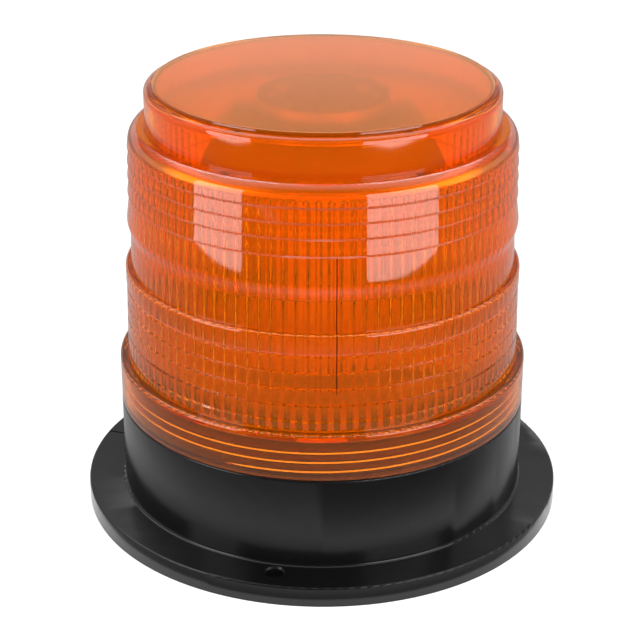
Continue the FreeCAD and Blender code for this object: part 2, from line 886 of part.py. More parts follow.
def bulb_filament():
    """Axial coil on two support wires that rise from the capsule's pinch."""
    foot = bulb_flange_top_z + bulb_collar_height + 1
    low = light_z - filament_length / 2
    high = light_z + filament_length / 2
    coil = rod(filament_r, low, high)
    tall = rod(filament_post_r, foot, high, filament_post_offset, 0)
    short = rod(filament_post_r, foot, low + 2 * filament_arm_inset, -filament_post_offset, 0)
    arms = [
        Part.makeCylinder(
            filament_arm_r, filament_post_offset, point(0, 0, high - filament_arm_inset), point(1, 0, 0)),
        Part.makeCylinder(
            filament_arm_r, filament_post_offset, point(0, 0, low + filament_arm_inset), point(-1, 0, 0)),
    ]
    return joined([coil, tall, short] + arms)


def paraboloid(vertex_y, r, mouth_y):
    """Solid of a parabola turned about the reflector's axis, which points along +Y."""
    vertex = point(0, vertex_y, light_z)
    control = point(r / 2, vertex_y, light_z)
    edge = point(r, mouth_y, light_z)
    curve = Part.BezierCurve()
    curve.setPoles([vertex, control, edge])
    centre = point(0, mouth_y, light_z)
    sides = [
        curve.toShape(),
        Part.LineSegment(edge, centre).toShape(),
        Part.LineSegment(centre, vertex).toShape(),
    ]
    return Part.Face(Part.Wire(sides)).revolve(vertex, point(0, 1, 0), 360)


def mouth_radius():
    """Radius of the reflecting face where it is cut off, from the parabola's own formula."""
    return math.sqrt(4 * focal_length * (focal_length + aperture_y))


def reflector():
    """Chromed reflector moulding: paraboloid cut flat above and below, with a hole for the lamp."""
    r = mouth_radius()
    reach = r + 10
    outside = paraboloid(-focal_length - reflector_wall, r + reflector_wall, aperture_y)
    outside = outside.common(block(-reach, reach, -reach, reach, reflector_bottom_z, reflector_top_z))
    inside = paraboloid(-focal_length, r, aperture_y)
    inside = inside.common(block(
        -reach, reach, -reach, reach,
        reflector_bottom_z + reflector_wall, reflector_top_z - reflector_wall))
    shape = outside.cut(inside)
    shape = shape.cut(rod(lamp_hole_r, reflector_bottom_z - 5, bulb_flange_top_z + lamp_hole_top))
    boss = Part.makeCylinder(
        back_boss_r, back_boss_height + reflector_wall, point(0, bracket_y, light_z), point(0, 1, 0))
    shape = shape.fuse(boss).removeSplitter()
    pilot = Part.makeCylinder(
        small_screw_r + pilot_gap, back_boss_height + reflector_wall * 0.5,
        point(0, bracket_y, light_z), point(0, 1, 0))
    shape = shape.cut(pilot)
    for x in (-shield_post_spread, shield_post_spread):
        hole = rod(shield_post_r * 0.7 + pilot_gap, reflector_top_z - 3, reflector_top_z + 1, x, shield_post_y)
        shape = shape.cut(hole)
    return shape


def foot_screw_places():
    y = bracket_y + bracket_foot - foot_screw_inset
    return [(-foot_screw_spread, y), (foot_screw_spread, y)]


def reflector_bracket():
    """Bent steel strip that holds the reflector up from the rotor gear."""
    back_y = bracket_y - bracket_thickness
    low = rotor_gear_top_z
    strip = block(
        -bracket_width / 2, bracket_width / 2, back_y, bracket_y, low, light_z + bracket_above_axis)
    foot = block(
        -bracket_width / 2, bracket_width / 2, back_y, bracket_y + bracket_foot,
        low, low + bracket_thickness)
    shape = strip.fuse(foot).removeSplitter()
    inner = [e for e in shape.Edges if is_bend(e, bracket_y, low + bracket_thickness)]
    shape = shape.makeFillet(bracket_inner_bend_r, inner)
    outer = [e for e in shape.Edges if is_bend(e, back_y, low)]
    shape = shape.makeFillet(bracket_inner_bend_r + bracket_thickness, outer)
    for x, y in foot_screw_places():
        shape = shape.cut(rod(small_screw_r + screw_hole_gap, low - 1, low + bracket_thickness + 1, x, y))
    hole = Part.makeCylinder(
        small_screw_r + screw_hole_gap, bracket_thickness + 2,
        point(0, back_y - 1, light_z), point(0, 1, 0))
    return shape.cut(hole)


def is_bend(edge, y, z):
    """True for the full-width edge along X at a given place."""
    middle = edge.CenterOfMass
    same_place = abs(middle.y - y) < 0.01 and abs(middle.z - z) < 0.01
    return same_place and edge.Length > bracket_width * 0.9


def reflector_screws():
    """Two screws through the bracket's foot and one into the reflector's back boss."""
    seat = rotor_gear_top_z + bracket_thickness
    screws = []
    for x, y in foot_screw_places():
        screws.append(screw(
            small_screw_r, small_screw_length, small_screw_head_r, small_screw_head_height, x, y, seat))
    back = screw(small_screw_r, small_screw_length, small_screw_head_r, small_screw_head_height, 0, 0, 0)
    back.rotate(origin, point(1, 0, 0), 90)
    back.translate(point(0, bracket_y - bracket_thickness, light_z))
    screws.append(back)
    return as_group(screws)


def heat_shield():
    """Aluminium disc over the bulb, with a ring of vent holes and a turned-down rim."""
    shape = rod(shield_r, shield_z, shield_z + shield_thickness)
    skirt = tube(shield_r, shield_r - shield_thickness, shield_z - 2, shield_z + shield_thickness)
    shape = shape.fuse(skirt).removeSplitter()
    slot = rod(shield_slot_r, shield_z - 1, shield_z + 2, 0, -shield_slot_circle_r)
    for hole in around(slot, shield_slot_count):
        shape = shape.cut(hole)
    for x in (-shield_post_spread, shield_post_spread):
        hole = rod(shield_post_r * 0.7 + pilot_gap, shield_z - 1, shield_z + 2, x, shield_post_y)
        shape = shape.cut(hole)
    return shape


def shield_posts():
    """Two aluminium pillars between the reflector's roof and the shield, riveted over on top."""
    core_r = shield_post_r * 0.7
    head_z = shield_z + shield_thickness
    shape = Outline(0, reflector_top_z - reflector_wall)
    shape.line(core_r, reflector_top_z - reflector_wall).line(core_r, reflector_top_z)
    shape.line(shield_post_r, reflector_top_z).line(shield_post_r, shield_z)
    shape.line(core_r, shield_z).line(core_r, head_z).line(shield_rivet_r, head_z)
    shape = shape.dome(head_z + shield_rivet_height).turned()
    posts = []
    for x in (-shield_post_spread, shield_post_spread):
        post = shape.copy()
        post.translate(point(x, shield_post_y, 0))
        posts.append(post)
    return as_group(posts)


def lens_seal():
    """Flat rubber ring between the base's shoulder and the lens skirt."""
    return tube(
        skirt_r - seal_inset, thread_crest_r + seal_thread_gap, shoulder_z, shoulder_z + seal_thickness)


def wall_at(z, low_z, low_r, high_z, high_r):
    """Radius of a wall that tapers between two heights."""
    return low_r + (high_r - low_r) * (z - low_z) / (high_z - low_z)


def lower_ribs(shape, low_z, low_r, pitch, count, high_r):
    """Straight bands one above another, with a narrow V groove under each and over the last."""
    high_z = low_z + pitch * count
    half = groove_width / 2
    shape.line(low_r - groove_depth, low_z)
    for i in range(count):
        foot = low_z + pitch * i + half
        head = foot + pitch - groove_width
        foot_r = wall_at(foot, low_z, low_r, high_z, high_r)
        head_r = wall_at(head, low_z, low_r, high_z, high_r)
        shape.line(foot_r, foot).line(head_r, head)
        shape.line(head_r - groove_depth, head + half)


def upper_ribs(shape, groove_zs, low_r, high_z, high_r):
    """Saw-tooth bands: a short slope out of each groove, then a long one in to the next."""
    low_z = groove_zs[0] + upper_crest_over_groove
    for groove_z in groove_zs:
        crest_z = groove_z + upper_crest_over_groove
        crest_r = wall_at(crest_z, low_z, low_r, high_z, high_r)
        shape.line(crest_r - upper_groove_depth, groove_z).line(crest_r, crest_z)


def lens_outside():
    """Whole outer form of the lens, turned as one solid."""
    half = groove_width / 2
    lower_top = lower_rib_first_z + lower_rib_pitch * lower_rib_count
    shape = Outline(0, skirt_bottom_z).line(skirt_r, skirt_bottom_z)
    shape.corner(skirt_r, ledge_z, skirt_top_round, lower_wall_r, ledge_z)
    shape.line(lower_wall_r, ledge_z).line(lower_wall_r, lower_rib_first_z - half)
    lower_ribs(
        shape, lower_rib_first_z, lower_wall_r, lower_rib_pitch, lower_rib_count, lower_wall_top_r)
    shape.line(lower_bead_r - bead_edge, lower_top + half)
    shape.line(lower_bead_r, lower_top + half + bead_edge)
    shape.corner(lower_bead_r, band_z, skirt_top_round, band_r, band_z)
    shape.line(band_r, band_z).line(band_top_r, upper_bead_z)
    shape.line(upper_bead_r, upper_bead_z + upper_bead_slope)
    shape.line(upper_bead_r, upper_bead_z + upper_bead_slope + upper_bead_flat)
    upper_ribs(shape, upper_groove_zs, upper_wall_r, shoulder_corner_z, upper_wall_top_r)
    shape.corner(upper_wall_top_r, shoulder_corner_z, shoulder_round, step_r, step_z)
    shape.line(step_r, step_z).line(ring_r, step_z)
    shape.corner(ring_top_r, rim_z, ring_round, disc_r, rim_z)
    shape.line(disc_r, rim_z)
    shape.corner(disc_r, lens_top_z, disc_round, 0, lens_top_z)
    shape.line(0, lens_top_z)
    return shape.turned()


def fluted_prism(bore_r, z_low, z_high):
    """Bore with flat-topped upright flutes that stand inwards, as one extruded outline."""
    pitch = 2 * math.pi / flute_count
    corners = []
    for i in range(flute_count):
        middle = pitch * i
        for side, share, r in (
                (-1, flute_foot_share, bore_r), (-1, flute_top_share, bore_r - flute_depth),
                (1, flute_top_share, bore_r - flute_depth), (1, flute_foot_share, bore_r)):
            turn = middle + side * pitch * share / 2
            corners.append(point(r * math.cos(turn), r * math.sin(turn), z_low))
    outline = Part.makePolygon(corners + corners[:1])
    return Part.Face(outline).extrude(point(0, 0, z_high - z_low))


def lens_inside():
    """Hollow of the lens: threaded skirt, fluted wall in two steps, shoulder and ring."""
    skirt = Outline(0, skirt_bottom_z - 1).line(skirt_bore_r, skirt_bottom_z - 1)
    skirt = skirt.line(skirt_bore_r, skirt_roof_z).line(0, skirt_roof_z).turned()
    collar = rod(lower_bore_r, skirt_roof_z - 1, flute_bottom_z)
    lower = fluted_prism(lower_bore_r, flute_bottom_z, flute_middle_z)
    upper = fluted_prism(upper_bore_r, flute_middle_z, flute_top_z)
    crown_z = lens_top_z - disc_thickness
    crown = Outline(0, flute_top_z).line(upper_bore_r, flute_top_z)
    crown.line(ring_bore_r, ring_bore_z)
    crown.corner(ring_bore_r, crown_z, ring_round, 0, crown_z)
    crown = crown.line(0, crown_z).turned()
    return [skirt, collar, lower, upper, crown]


def lens():
    """Amber lens moulding with its ribs, flutes and skirt thread."""
    shape = lens_outside()
    for hollow in lens_inside():
        shape = shape.cut(hollow)
    crest_r = skirt_bore_r - lens_thread_depth
    first_z = thread_first_z - thread_pitch / 2
    ridge = thread_ridge(skirt_bore_r, crest_r, first_z, lens_thread_turns)
    return shape.fuse(ridge)


def lead(route):
    """Insulated lead along straight runs joined by tangent arcs."""
    corners = [point(*place) for place in route]
    edges = []
    here = corners[0]
    for i in range(1, len(corners) - 1):
        tip = corners[i]
        back = (corners[i - 1] - tip).normalize()
        ahead = (corners[i + 1] - tip).normalize()
        half = back.getAngle(ahead) / 2
        reach = lead_bend_r / math.tan(half)
        first = tip + back * reach
        last = tip + ahead * reach
        middle = tip + (back + ahead).normalize() * (lead_bend_r / math.sin(half) - lead_bend_r)
        edges.append(Part.LineSegment(here, first).toShape())
        edges.append(Part.Arc(first, middle, last).toShape())
        here = last
    edges.append(Part.LineSegment(here, corners[-1]).toShape())
    path = Part.Wire(edges)
    direction = (corners[1] - corners[0]).normalize()
    section = Part.Wire(Part.makeCircle(lead_r, corners[0], direction))
    return path.makePipeShell([section], True, False)


def block_exit(way):
    """Where a lead leaves the terminal block, inside its wire hole."""
    x = block_x + block_length / 2 - lead_entry
    return x, block_way_ys()[way], floor_top_z + block_height * 0.4


def lamp_lead():
    """From the block, up the middle of the post, to the bulb's blade."""
    x, y, z = block_exit(1)
    blade_z = holder_top_z - bulb_sleeve_length - bulb_blade_length
    return lead([
        (x, y, z), (lamp_lead_turn_x, y, z), (0.0, 0.0, lamp_lead_rise_z),
        (0.0, 0.0, blade_z - lead_gap)])


def motor_lead_live():
    """From the block, along the floor, to the motor's near tab."""
    x, y, z = block_exit(1)
    tab_x = motor_x - motor_tab_spread - motor_tab_thickness / 2 - lead_gap
    tab_z = motor_bottom_z - motor_tab_height / 2
    side_y = y + live_lead_side
    low_z = floor_top_z + live_lead_over_floor
    return lead([
        (block_x, side_y, low_z), (live_lead_turn_x, side_y, low_z),
        (live_lead_rise_x, motor_y, tab_z), (tab_x, motor_y, tab_z)])


def motor_lead_return():
    """From the block, under the motor, to its far tab."""
    x, y, z = block_exit(0)
    tab_x = motor_x + motor_tab_spread + motor_tab_thickness / 2 + lead_gap
    tab_z = motor_bottom_z - motor_tab_height / 2
    return lead([
        (x, y, z), (return_lead_turn_x, y, z), (return_lead_rise_x, y + return_lead_side, tab_z),
        (tab_x + return_lead_round_motor, 0.0, tab_z), (tab_x + return_lead_back, motor_y, tab_z),
        (tab_x, motor_y, tab_z)])


nodes = {
    "base_housing": base_housing,
    "cable_grommet": cable_grommet,
    "terminal_block": terminal_block,
    "terminal_screws": terminal_screws,
    "chassis_plate": chassis_plate,
    "chassis_screws": chassis_screws,
    "motor_can": motor_can,
    "motor_end_cap": motor_end_cap,
    "motor_terminals": motor_terminals,
    "motor_screws": motor_screws,
    "motor_shaft": motor_shaft,
    "motor_pinion": motor_pinion,
    "idler_axle": idler_axle,
    "idler_spacer": idler_spacer,
    "idler_gear": idler_gear,
    "idler_clip": idler_clip,
    "centre_post": centre_post,
    "thrust_washer": thrust_washer,
    "post_circlip": post_circlip,
    "bearing_bush": bearing_bush,
    "rotor_gear": rotor_gear,
    "lamp_holder": lamp_holder,
    "bulb_clip": bulb_clip,
    "bulb_base": bulb_base,
    "bulb_glass": bulb_glass,
    "bulb_filament": bulb_filament,
    "reflector": reflector,
    "reflector_bracket": reflector_bracket,
    "reflector_screws": reflector_screws,
    "heat_shield": heat_shield,
    "shield_posts": shield_posts,
    "lens_seal": lens_seal,
    "lens": lens,
    "lamp_lead": lamp_lead,
    "motor_lead_live": motor_lead_live,
    "motor_lead_return": motor_lead_return,
}

os.makedirs("parts", exist_ok=True)
for name, make in nodes.items():
    shape = make()
    print(name, "solids", len(shape.Solids), "valid", shape.isValid(), "volume", round(shape.Volume, 2))
    shape.exportStep("parts/" + name + ".step")
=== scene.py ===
import math

import bpy
import numpy as np
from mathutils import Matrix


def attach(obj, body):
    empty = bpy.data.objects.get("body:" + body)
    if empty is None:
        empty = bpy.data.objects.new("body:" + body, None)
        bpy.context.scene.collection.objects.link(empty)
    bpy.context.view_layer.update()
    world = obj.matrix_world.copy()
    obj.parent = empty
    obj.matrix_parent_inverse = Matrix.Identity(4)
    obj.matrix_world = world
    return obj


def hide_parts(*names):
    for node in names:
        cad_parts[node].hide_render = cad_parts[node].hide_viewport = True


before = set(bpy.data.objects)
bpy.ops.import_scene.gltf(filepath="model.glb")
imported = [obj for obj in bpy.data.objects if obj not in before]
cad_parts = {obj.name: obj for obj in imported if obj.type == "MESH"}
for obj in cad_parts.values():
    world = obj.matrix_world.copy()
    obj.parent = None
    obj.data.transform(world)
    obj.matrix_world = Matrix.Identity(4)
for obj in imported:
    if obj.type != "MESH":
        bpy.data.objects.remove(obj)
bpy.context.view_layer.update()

# Studio: a pale matt table in a white tent that is bright overhead and open, so dark, where the
# camera looks in, with two soft boxes close to the beacon. A card round the beacon, seen only in
# gloss, is a painted reflection of shade and keeps its colours deep, and a fill light in front,
# unseen in gloss, lights its inside. Lengths are in metres unless the name ends in mm.
table_half = 4.0
card_inner_mm = 78.0
card_outer_mm = 4000.0
card_lift_mm = 1.0
card_columns = 96
card_rows = 8
card_bright_reach = 0.08
card_dark_reach = 0.28
tent_strength = 1.85
box_distance = 0.25
box_low = 0.063
box_high = 0.20
box_glow = 3.9
fill_tilt = 52.0
camera_back = 0.50384
camera_high = 0.28436
camera_pitch = 24.29
camera_roll = 0.21
camera_lens = 99.045
camera_sensor = 36.0
camera_shift = -0.0038


class Wire:
    """A shader socket that can be added, multiplied and so on; each sign adds a Math node."""

    def __init__(self, tree, socket):
        self.tree = tree
        self.socket = socket

    def _math(self, operation, first, second=0.0):
        node = self.tree.nodes.new("ShaderNodeMath")
        node.operation = operation
        plug(self.tree, node.inputs[0], first)
        plug(self.tree, node.inputs[1], second)
        return Wire(self.tree, node.outputs[0])

    def __add__(self, other):
        return self._math("ADD", self, other)

    def __radd__(self, other):
        return self._math("ADD", other, self)

    def __sub__(self, other):
        return self._math("SUBTRACT", self, other)

    def __rsub__(self, other):
        return self._math("SUBTRACT", other, self)

    def __mul__(self, other):
        return self._math("MULTIPLY", self, other)

    def __rmul__(self, other):
        return self._math("MULTIPLY", other, self)

    def __truediv__(self, other):
        return self._math("DIVIDE", self, other)

    def __abs__(self):
        return self._math("ABSOLUTE", self)

    def root(self):
        return self._math("SQRT", self)

    def fraction(self):
        return self._math("FRACT", self)

    def turn_from(self, across):
        """Angle of the point (across, self), in radians from the first axis."""
        return self._math("ARCTAN2", self, across)

    def above(self, level):
        """1 where the value is over the level, 0 elsewhere."""
        return self._math("GREATER_THAN", self, level)

    def between(self, low, high):
        return self.above(low) * (1 - self.above(high))


def plug(tree, socket, value):
    """Gives a socket a link from a Wire, or else a plain value."""
    if isinstance(value, Wire):
        tree.links.new(value.socket, socket)
    else:
        socket.default_value = value


class Finish:
    """One material. node() adds any node: its settings first, then the values of its sockets."""

    def __init__(self, name, kind=bpy.data.materials):
        self.material = kind.new(name)
        self.material.use_nodes = True
        self.tree = self.material.node_tree
        self.tree.nodes.clear()

    def node(self, kind, settings=None, sockets=None, output=0):
        made = self.tree.nodes.new("ShaderNode" + kind)
        for name, value in (settings or {}).items():
            if name == "stops":
                set_stops(made.color_ramp, value)
            else:
                setattr(made, name, value)
        for name, value in (sockets or {}).items():
            plug(self.tree, made.inputs[name], value)
        return Wire(self.tree, made.outputs[output])

    def place(self):
        """Object coordinates, in metres."""
        return self.node("TexCoord", output="Object")

    def x_y_z(self, vector):
        """The three parts of a vector."""
        first = self.node("SeparateXYZ", sockets={"Vector": vector})
        return [Wire(self.tree, output) for output in first.socket.node.outputs]

    def stretched(self, scale):
        """Object coordinates scaled by three numbers."""
        return self.node("Mapping", sockets={"Vector": self.place(), "Scale": scale})

    def noise(self, scale, detail=2.0, vector=None):
        vector = vector or self.place()
        return self.node("TexNoise", sockets={"Vector": vector, "Scale": scale, "Detail": detail})

    def rise(self, value, low, high):
        """Climbs from 0 where the value is low to 1 where it is high, and is level beyond both."""
        return self.node("MapRange", sockets={"Value": value, "From Min": low, "From Max": high})

    def blend(self, factor, first, second):
        """Colour between two colours."""
        return self.node("Mix", {"data_type": "RGBA"}, {0: factor, 6: first, 7: second}, output=2)

    def bump(self, height, distance, strength=1.0):
        return self.node(
            "Bump", sockets={"Height": height, "Distance": distance, "Strength": strength})

    def shine(self, sockets):
        """Principled shader into the material's surface."""
        shader = self.node("BsdfPrincipled", sockets=sockets)
        out = self.tree.nodes.new("ShaderNodeOutputMaterial")
        self.tree.links.new(shader.socket, out.inputs["Surface"])
        return self.material


def set_stops(colour_ramp, stops):
    """Sets a ramp's stops from pairs of place and colour."""
    while len(colour_ramp.elements) < len(stops):
        colour_ramp.elements.new(0.5)
    for element, (place, colour) in zip(colour_ramp.elements, stops):
        element.position = place
        element.color = colour


def rgb(red, green, blue):
    return (red, green, blue, 1.0)


def grey(level):
    return rgb(level, level, level)


def on_rings(radius, height):
    """Points x = r cos a, y = r sin a, z, in metres, for rings of radius and height per column, in
    millimetres."""
    turn = np.arange(radius.shape[1]) / radius.shape[1] * 2 * math.pi
    points = np.stack([radius * np.cos(turn), radius * np.sin(turn), height], axis=-1)
    return points.reshape(-1, 3) * 0.001


def ring_quads(rows, columns, first, outward):
    """Four-sided faces between rings that close on themselves."""
    row = np.arange(rows - 1)[:, None] * columns
    here = np.arange(columns)[None, :]
    after = (here + 1) % columns
    corners = [row + here, row + after, row + columns + after, row + columns + here]
    if not outward:
        corners.reverse()
    return first + np.stack(corners, axis=-1).reshape(-1, 4)


def new_object(name, points, faces):
    """Object at the origin whose mesh has these points and faces."""
    mesh = bpy.data.meshes.new(name)
    mesh.from_pydata(points, [], faces)
    made = bpy.data.objects.new(name, mesh)
    bpy.context.collection.objects.link(made)
    return made


def table_top():
    """Flat square far wider than the beacon."""
    half = table_half
    corners = [(-half, -half, 0), (half, -half, 0), (half, half, 0), (-half, half, 0)]
    table = new_object("table_top", corners, [(0, 1, 2, 3)])
    matt = Finish("table_white")
    speck = matt.noise(900.0)
    table.data.materials.append(matt.shine({
        "Base Color": matt.blend(speck, grey(0.95), grey(0.97)),
        "Roughness": 0.85}))


def shaded_card():
    """Flat ring round the beacon, just over the table, of rings with radii at even steps. It is
    seen only in gloss, and its grey is painted shade in the beacon's reflections.
    """
    radius = np.linspace(card_inner_mm, card_outer_mm, card_rows)[:, None] * np.ones(card_columns)
    points = on_rings(radius, np.full_like(radius, card_lift_mm))
    faces = ring_quads(card_rows, card_columns, 0, False)
    card = new_object("shaded_card", points.tolist(), faces.tolist())
    card.visible_camera = False
    card.visible_diffuse = False
    card.visible_transmission = False
    card.visible_shadow = False
    card_reflection_paint = Finish("painted_shade_reflection")
    across, depth, _ = card_reflection_paint.x_y_z(card_reflection_paint.place())
    reach = (across * across + depth * depth).root()
    # Painted shade: the card's grey by distance and side, seen only in the beacon's gloss.
    side = card_reflection_paint.rise(depth / reach, -0.5, 0.7)
    near_painted_shade = card_reflection_paint.node("ValToRGB", {"stops": [
        (0.0, grey(0.2)), (0.08, grey(0.55)), (0.25, grey(0.18)), (0.5, grey(0.05)),
        (1.0, grey(0.01))]}, {0: card_reflection_paint.rise(reach, card_bright_reach, card_dark_reach)})
    card.data.materials.append(card_reflection_paint.shine({
        "Base Color": card_reflection_paint.blend(side, near_painted_shade, grey(0.38)),
        "Specular IOR Level": 0.0,
        "Roughness": 1.0}))


def white_tent():
    """Light by direction: pale walls that fade upward, dark towards the camera, bright overhead."""
    tent = Finish("white_tent", bpy.data.worlds)
    across, depth, height = tent.x_y_z(tent.node("TexCoord", output="Generated"))
    walls = tent.node("ValToRGB", {"stops": [
        (0.0, grey(0.43)), (0.25, grey(0.47)), (0.315, grey(0.09)), (0.36, grey(0.09)),
        (0.45, rgb(0.23, 0.23, 0.24)), (0.54, rgb(0.23, 0.23, 0.24)), (0.66, grey(1.0))]},
                      {0: height})
    light = tent.blend(tent.rise(depth, -0.55, 0.05), grey(0.008), walls)
    background = tent.node("Background", sockets={"Color": light, "Strength": tent_strength})
    out = tent.tree.nodes.new("ShaderNodeOutputWorld")
    tent.tree.links.new(background.socket, out.inputs["Surface"])
    return tent.material


def soft_box(name, turn, distance, width, low, high, glow):
    """Upright rectangular light that faces the beacon's axis, at a turn in degrees from the
    camera."""
    light = bpy.data.lights.new(name, "AREA")
    light.shape = "RECTANGLE"
    light.size = width
    light.size_y = high - low
    light.energy = glow * math.pi * width * (high - low)
    lamp = bpy.data.objects.new(name, light)
    bpy.context.collection.objects.link(lamp)
    way = math.radians(turn)
    lamp.location = (distance * math.sin(way), -distance * math.cos(way), (low + high) / 2)
    lamp.rotation_euler = (math.radians(90.0), 0.0, way)
    return lamp


def studio_camera():
    """Camera straight in front of the beacon, above it, at the photograph's angle."""
    camera_data = bpy.data.cameras.new("camera")
    camera_data.lens = camera_lens
    camera_data.sensor_width = camera_sensor
    camera_data.shift_x = camera_shift
    camera = bpy.data.objects.new("camera", camera_data)
    camera.location = (0.0, -camera_back, camera_high)
    camera.rotation_euler = (math.radians(90.0 - camera_pitch), 0.0, 0.0)
    camera.rotation_euler.rotate_axis("Z", math.radians(camera_roll))
    bpy.context.collection.objects.link(camera)
    return camera


table_top()
shaded_card()
bpy.context.scene.world = white_tent()
bpy.context.scene.view_settings.view_transform = "Standard"
soft_box("left_box", -54.5, box_distance, 0.125, box_low, box_high, box_glow)
soft_box("right_box", 41.0, box_distance, 0.175, box_low, box_high, box_glow)
front_fill = soft_box("front_fill", 0.0, distance=0.95, width=2.6, low=0.1, high=1.3, glow=2.7)
front_fill.rotation_euler = (math.radians(fill_tilt), 0.0, 0.0)
front_fill.visible_glossy = False
bpy.context.scene.camera = studio_camera()


# Base housing: one black ABS moulding with its flange, cylinder and threaded neck. It is screwed
# down through three holes in the flange and carries all the rest. The mould is polished outside, so
# the plastic reflects cleanly, with a faint flow ripple.
def smooth_by_angle(degrees=32.0):
    """Node group that joins a body's triangles and shades it smooth, except over sharper edges."""
    group = bpy.data.node_groups.new("smooth_by_angle", "GeometryNodeTree")
    group.interface.new_socket("Geometry", in_out="INPUT", socket_type="NodeSocketGeometry")
    group.interface.new_socket("Geometry", in_out="OUTPUT", socket_type="NodeSocketGeometry")
    start = group.nodes.new("NodeGroupInput")
    end = group.nodes.new("NodeGroupOutput")
    merge = group.nodes.new("GeometryNodeMergeByDistance")
    merge.inputs["Distance"].default_value = 1e-6
    faces = group.nodes.new("GeometryNodeSetShadeSmooth")
    edges = group.nodes.new("GeometryNodeSetShadeSmooth")
    edges.domain = "EDGE"
    angle = group.nodes.new("GeometryNodeInputMeshEdgeAngle")
    compare = group.nodes.new("FunctionNodeCompare")
    compare.operation = "LESS_THAN"
    compare.inputs["B"].default_value = math.radians(degrees)
    group.links.new(start.outputs[0], merge.inputs["Geometry"])
    group.links.new(merge.outputs[0], faces.inputs["Geometry"])
    group.links.new(faces.outputs[0], edges.inputs["Geometry"])
    group.links.new(angle.outputs["Unsigned Angle"], compare.inputs["A"])
    group.links.new(compare.outputs["Result"], edges.inputs["Shade Smooth"])
    group.links.new(edges.outputs[0], end.inputs[0])
    return group


rounded_shading = smooth_by_angle()


def dress(node, material):
    """Gives a CAD node its finish and smooth shading."""
    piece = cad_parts[node]
    for slot in piece.material_slots:
        slot.material = material
    if not piece.material_slots:
        piece.data.materials.append(material)
    shading = piece.modifiers.new("rounded_shading", "NODES")
    shading.node_group = rounded_shading


def polished_black_abs():
    finish = Finish("polished_black_abs")
    ripple = finish.noise(35.0, 3.0)
    dust = finish.noise(700.0, 4.0)
    return finish.shine({
        "Base Color": finish.blend(
            ripple, rgb(0.0028, 0.0028, 0.0031), rgb(0.0042, 0.0042, 0.0045)),
        "Roughness": 0.15 + 0.10 * dust,
        "Normal": finish.bump(ripple, 0.0003),
        "IOR": 1.45})


dress("base_housing", polished_black_abs())


# Cable grommet and lens seal: soft black rubber with a fine matt bloom. The grommet is moulded and
# grips the floor's edge; the seal is a flat ring that the lens presses on the base's shoulder.
def black_rubber():
    finish = Finish("black_rubber")
    grain = finish.noise(1800.0, 4.0)
    return finish.shine({
        "Base Color": finish.blend(grain, grey(0.012), grey(0.03)),
        "Roughness": 0.55 + 0.2 * grain,
        "Normal": finish.bump(grain, 0.00005)})


rubber = black_rubber()
dress("cable_grommet", rubber)
dress("lens_seal", rubber)


# Terminal block and lamp holder: cream moulded plastic with a satin mould texture. The block takes
# the supply wires inside the base; the holder sits on the centre post and seats the bulb's flange.
def cream_moulding():
    finish = Finish("cream_moulding")
    grain = finish.noise(1200.0, 3.0)
    return finish.shine({
        "Base Color": finish.blend(grain, rgb(0.62, 0.56, 0.42), rgb(0.70, 0.64, 0.50)),
        "Roughness": 0.4 + 0.15 * grain,
        "Normal": finish.bump(grain, 0.00003)})


cream = cream_moulding()
dress("terminal_block", cream)
dress("lamp_holder", cream)


# Chassis plate and reflector bracket: pressed steel plated with bright zinc, spangled and a little
# brushed. Three screws hold the plate in the base, and it carries the motor, idler and centre post;
# the bracket is screwed to the rotor gear and holds the reflector.
def zinc_plating():
    finish = Finish("zinc_plating")
    spangle = finish.node(
        "TexVoronoi", sockets={"Vector": finish.place(), "Scale": 260.0}, output="Color")
    tone = finish.node("SeparateColor", sockets={"Color": spangle})
    scratch = finish.noise(300.0, 4.0, finish.stretched((1.0, 14.0, 14.0)))
    return finish.shine({
        "Base Color": finish.blend(tone, rgb(0.66, 0.67, 0.67), rgb(0.78, 0.78, 0.77)),
        "Metallic": 0.7,
        "Roughness": 0.32 + 0.14 * scratch,
        "Normal": finish.bump(scratch, 0.00003)})


zinc = zinc_plating()
dress("chassis_plate", zinc)
dress("reflector_bracket", zinc)


# Screws, shaft, axle, centre post, clips, motor can and bulb base: bright turned, drawn or sprung
# steel, with fine lines round the turned ones. The post is swaged into the plate, and the clips
# snap into grooves.
def turned_steel():
    finish = Finish("turned_steel")
    lines = finish.noise(500.0, 3.0, finish.stretched((1.0, 1.0, 12.0)))
    return finish.shine({
        "Base Color": finish.blend(lines, rgb(0.50, 0.51, 0.52), rgb(0.60, 0.61, 0.62)),
        "Metallic": 1.0,
        "Roughness": 0.22 + 0.12 * lines,
        "Normal": finish.bump(lines, 0.00002)})


steel = turned_steel()
for name in ("chassis_screws", "motor_screws", "reflector_screws", "motor_shaft", "idler_axle",
             "idler_clip", "centre_post", "post_circlip", "bulb_clip", "motor_can", "bulb_base"):
    dress(name, steel)


# Terminal screws, motor terminals, pinion and idler spacer: turned or stamped brass. Thrust washer
# and bush: sintered bronze, on which the rotor turns round the centre post.
def worked_brass(name, dark, light):
    finish = Finish(name)
    grain = finish.noise(900.0, 4.0)
    return finish.shine({
        "Base Color": finish.blend(grain, dark, light),
        "Metallic": 1.0,
        "Roughness": 0.25 + 0.15 * grain,
        "Normal": finish.bump(grain, 0.00002)})


brass = worked_brass("turned_brass", rgb(0.60, 0.42, 0.14), rgb(0.74, 0.55, 0.22))
bronze = worked_brass("sintered_bronze", rgb(0.36, 0.22, 0.10), rgb(0.48, 0.31, 0.15))
for name in ("terminal_screws", "motor_terminals", "motor_pinion", "idler_spacer"):
    dress(name, brass)
for name in ("thrust_washer", "bearing_bush"):
    dress(name, bronze)


